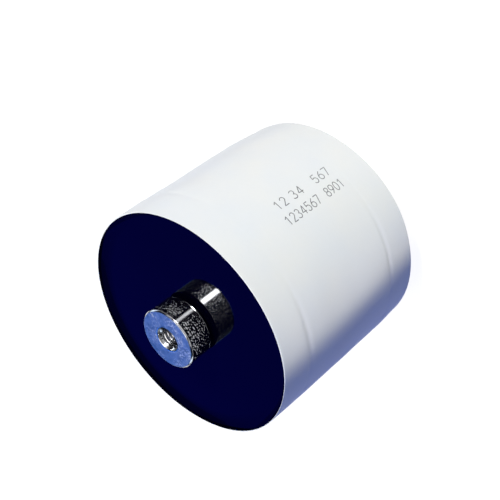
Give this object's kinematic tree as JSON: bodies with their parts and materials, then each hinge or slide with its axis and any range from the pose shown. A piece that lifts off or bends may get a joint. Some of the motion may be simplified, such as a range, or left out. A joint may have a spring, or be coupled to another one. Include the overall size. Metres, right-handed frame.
{
  "type": "film capacitor",
  "caption": "Axial film capacitor: round white tape-wrapped body with recessed dark blue resin ends and a tapped round metal terminal standing from the middle of each end.",
  "frame": {"origin": "centre of the lower terminal's face, on which the part stands", "axes": "+Z along the axis of the winding, from the lower terminal to the upper one; +X through one of the solder joints"},
  "size_m": [0.08, 0.08, 0.0837],
  "materials": {
    "wrap_tape": "white polyester tape, satin, faintly rippled",
    "plain_film": "clear plastic film wound in many turns",
    "metallised_film": "wound metallised plastic film",
    "core_plastic": "moulded plastic tube",
    "sprayed_zinc": "rough sprayed zinc",
    "tinned_copper": "tinned copper sheet",
    "solder": "bright solder",
    "nickel_plate": "nickel plated brass, turned, finely pitted and scuffed",
    "blue_resin": "poured dark blue epoxy, mirror smooth"
  },
  "bodies": {
    "root": {"tape_wrap": "wrap_tape", "inner_wrap": "plain_film", "film_winding": "metallised_film", "core_tube": "core_plastic", "end_spray_top": "sprayed_zinc", "end_spray_bottom": "sprayed_zinc", "contact_plate_top": "tinned_copper", "contact_plate_bottom": "tinned_copper", "solder_joints_top": "solder", "solder_joints_bottom": "solder", "terminal_top": "nickel_plate", "terminal_bottom": "nickel_plate", "resin_end_top": "blue_resin", "resin_end_bottom": "blue_resin"}
  },
  "joints": []
}
